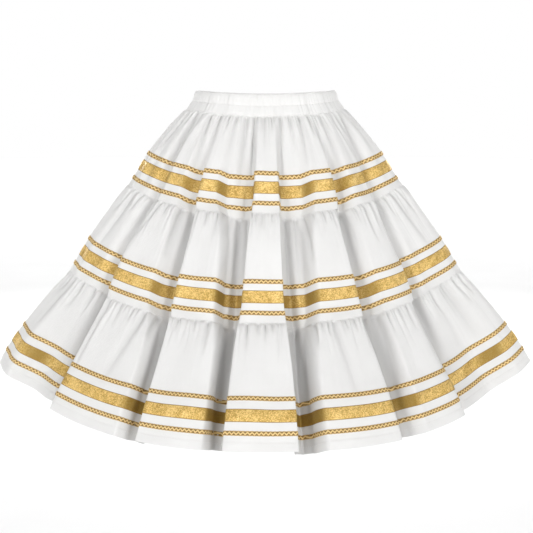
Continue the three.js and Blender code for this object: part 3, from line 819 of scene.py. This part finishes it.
# Its painted shade: shares for turned cloth, near a turn and in a narrow hollow, and mm of trough for the
# full dark. The painted shade near a turn reaches a few mm along the ribbon: distance and weight.
GOLD_TURN, GOLD_NEAR, GOLD_SHADE, GOLD_TROUGH = 0.35, 0.8, 0.35, 24
NEAR_TURN = ((-8, 0.12), (-5, 0.18), (-2, 0.25), (2, 0.25), (5, 0.18), (8, 0.12))


def ribbon(tier):
    """A gold ribbon laid round a tier."""
    middle = TIERS[tier]["top"] + TIERS[tier]["ribbon"]
    deg, s = grid(full_columns(tier), middle + (ACROSS - 0.5) * RIBBON_WIDTH)
    across = (s - middle) / RIBBON_WIDTH + 0.5
    # Painted shade on the ribbon, from turns, troughs and narrow hollows.
    near = sum(weight * turned(deg + d / stretch(deg, s), s) for d, weight in NEAR_TURN)
    dark = (GOLD_TURN * turned(deg, s) + GOLD_NEAR * near + fold_troughs(deg, s) / GOLD_TROUGH
            + GOLD_SHADE * shade(deg, s))
    dark = np.clip(dark, 0, 1)
    dome = np.sin(math.pi * np.clip((across - ACROSS[1]) / (1 - 2 * ACROSS[1]), 0, 1)) ** 0.7
    outer = cloth(tier, deg, s, EDGE_LIFT + (DOME + PUCKER * ripples(deg, 1.7)) * dome)
    inner = cloth(tier, deg, s, UNDERSIDE)
    along = path_length(outer) * MM
    obj = shell(f"tier_{tier}_ribbon_gold", outer, inner, gold_ribbon,
                along=along, across=across, turned=dark)
    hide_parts(f"tier_{tier}_ribbon")


# Ric-rac: length of a wave, swing and half width of the zigzag, half width of the braid, and samples a wave.
WAVE, SWING, CORE, HALF_BRAID, SAMPLES = 6.5, 1.6, 0.8, 3.2, 8
BORDER_SWING, BORDER_ROUND = 0.12, 0.35


def ric_rac(tier, which, place):
    """Flat braid: a raised zigzag between two straight cords, low in the corners left over, with painted
    shade making them dark.
    """
    middle = TIERS[tier]["top"] + place
    fine = all_round(16)
    length = run_along(base(fine, np.full_like(fine, middle)))
    steps = int(round(length[-1] / WAVE)) * SAMPLES
    run = np.arange(steps) / steps * length[-1]
    phase = (np.arange(steps) + 0.5) / SAMPLES * 2 * math.pi
    zigzag = SWING * (np.sin(phase) - np.sin(3 * phase) / 9)
    wobble = BORDER_SWING * np.sin(phase)
    level = np.ones(steps)
    # Points across the braid: place across, lift off the cloth, and how raised, which sets the painted light
    # and shade of the material.
    rows = []
    for side in (-1, 1):
        border = side * HALF_BRAID + wobble
        shoulder = zigzag + side * CORE
        room = side * (border - shoulder)
        low = np.clip(room / 3.0, 0, 1)
        notch = shoulder + side * room * (0.45 + 0.1 * low)
        part = [(border + side * BORDER_ROUND, 0.36 * level, 0.4 * level),
                (border, 1.0 * level, 0.8 * level),
                (notch, 1.1 - 0.62 * low, 0.72 - 0.78 * low),
                (shoulder, 1.4 * level, 1.0 * level)]
        rows += part if side < 0 else part[::-1]
    offset, lift, ridge = (np.stack([row[k] for row in rows]) for k in range(3))
    deg = np.broadcast_to(np.interp(run, length, fine), offset.shape)
    points = cloth(tier, deg, middle + offset, lift)
    n = len(rows)
    faces = []
    for i in range(steps):
        j = (i + 1) % steps
        for k in range(n):
            m = (k + 1) % n
            faces.append((i * n + k, i * n + m, j * n + m, j * n + k))
    obj = make(f"tier_{tier}_{which}_braid_gold", points.transpose(1, 0, 2).reshape(-1, 3), faces, gold_braid,
               along=np.repeat(run * MM, n), ridge=ridge.T)
    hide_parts(f"tier_{tier}_{which}_braid")


for tier, row in TIERS.items():
    ribbon(tier)
    ric_rac(tier, "upper", row["braid_top"])
    ric_rac(tier, "lower", row["braid_low"])


# Stitching. A stitch is a thread of four sides and four rings, given by share of its length, size and lift.
THREAD_HALF = 0.24
THREAD_SIDES = [(math.cos(a), math.sin(a)) for a in (0.3, 1.57, 2.84, 4.71)]
THREAD_RINGS = ((0.0, 0.45, -0.12), (0.3, 1.0, 0.06), (0.7, 1.0, 0.06), (1.0, 0.45, -0.12))
HEM_STITCHES, SEAM_STITCHES = 11.4, 2.6


def stitches(name, rows, pitch=3.1, length=2.1):
    """Rows of short raised threads; each row is a function giving points and ways out at angles."""
    verts, faces = [], []
    fine = all_round(8)
    for surface in rows:
        run = run_along(surface(fine)[0])
        count = int(run[-1] / pitch)
        starts = (np.arange(count) + 0.25) * run[-1] / count
        p0, n0 = surface(np.interp(starts, run, fine))
        p1, _ = surface(np.interp(starts + length, run, fine))
        for a, b, out in zip(p0, p1, n0):
            side = np.cross((b - a) / np.linalg.norm(b - a), out)
            k = len(verts)
            for f, size, lift in THREAD_RINGS:
                centre = a * (1 - f) + b * f + out * lift
                for u, v in THREAD_SIDES:
                    verts.append(centre + (side * u + out * v) * (THREAD_HALF * size))
            for r in range(3):
                for c in range(4):
                    d = (c + 1) % 4
                    faces.append((k + r * 4 + c, k + r * 4 + d, k + r * 4 + 4 + d, k + r * 4 + 4 + c))
            faces.append((k + 3, k + 2, k + 1, k))
            faces.append((k + 12, k + 13, k + 14, k + 15))
    obj = make(name, np.array(verts), faces, white_thread)
    return obj


def on_band(s, lift=0.4):
    """A row on the casing."""
    def surface(deg):
        level = np.full_like(deg, s)
        out = outward(deg, level)
        stand = BAND_COVER + PUFF_SHOWN * band_relief(deg, level) + lift
        return base(deg, level) + out * stand[:, None], out
    return surface


def on_tier(tier, above_foot, lift=0.12):
    """A row on a tier, above its lower edge."""
    def surface(deg):
        level = np.full_like(deg, TIERS[tier]["top"] + TIERS[tier]["depth"] - above_foot)
        return cloth(tier, deg, level, CLOTH_HALF + lift), outward(deg, level)
    return surface


stitches("waistband_stitches", [on_band(s) for s in CHANNEL_ENDS[1:]], pitch=2.9, length=2.0)
foot_stitches = {
    1: stitches("tier_1_stitches", [on_tier(1, SEAM_STITCHES)]),
    2: stitches("tier_2_stitches", [on_tier(2, SEAM_STITCHES)]),
    3: stitches("hem_stitches", [on_tier(3, HEM_STITCHES, 0.4)]),
}

# Room and light, in metres and watts.
FLOOR_RADIUS, FLOOR_LEVEL = 14, -1.0
bpy.ops.mesh.primitive_circle_add(vertices=96, radius=FLOOR_RADIUS, fill_type="NGON",
                                  location=(0, 0, FLOOR_LEVEL))
floor = bpy.context.object
floor.name = "floor"
floor.data.materials.append(floor_paint("floor_paint"))

world = bpy.data.worlds.new("studio")
bpy.context.scene.world = world
world.use_nodes = True
tree = world.node_tree
way = node(tree, "ShaderNodeSeparateXYZ", {"Vector": node(tree, "ShaderNodeTexCoord").outputs["Generated"]})
sky = greys(tree, way.outputs["Z"], (0.09, 1.0), (0.2, 0.1))
tree.links.new(sky, tree.nodes["Background"].inputs["Color"])
tree.nodes["Background"].inputs["Strength"].default_value = 1.0


def softbox(name, place, size, power, aim=(0, 0, -0.25)):
    """A rectangular light at a place, turned towards the middle of the skirt or another point."""
    light = bpy.data.lights.new(name, "AREA")
    light.shape = "RECTANGLE"
    light.size, light.size_y = size
    light.energy = power
    obj = bpy.data.objects.new(name, light)
    bpy.context.scene.collection.objects.link(obj)
    obj.location = place
    obj.rotation_euler = (Vector(aim) - Vector(place)).to_track_quat("-Z", "Y").to_euler()


softbox("left_key", (-1.8, -3.0, 0.65), (1.0, 1.0), 55)
softbox("right_key", (1.8, -3.0, 0.65), (1.0, 1.0), 55)
softbox("left_fill", (-3.0, -0.9, 0.3), (1.6, 1.2), 14)
softbox("right_fill", (3.0, -0.9, 0.3), (1.6, 1.2), 14)
softbox("back_left", (-1.8, 3.0, 0.8), (0.9, 0.9), 38)
softbox("back_right", (1.8, 3.0, 0.8), (0.9, 0.9), 38)
softbox("floor_light", (0.0, 12.0, 3.2), (16, 20), 1400, (0.0, 12.01, -1.0))

bpy.context.scene.view_settings.view_transform = "Standard"
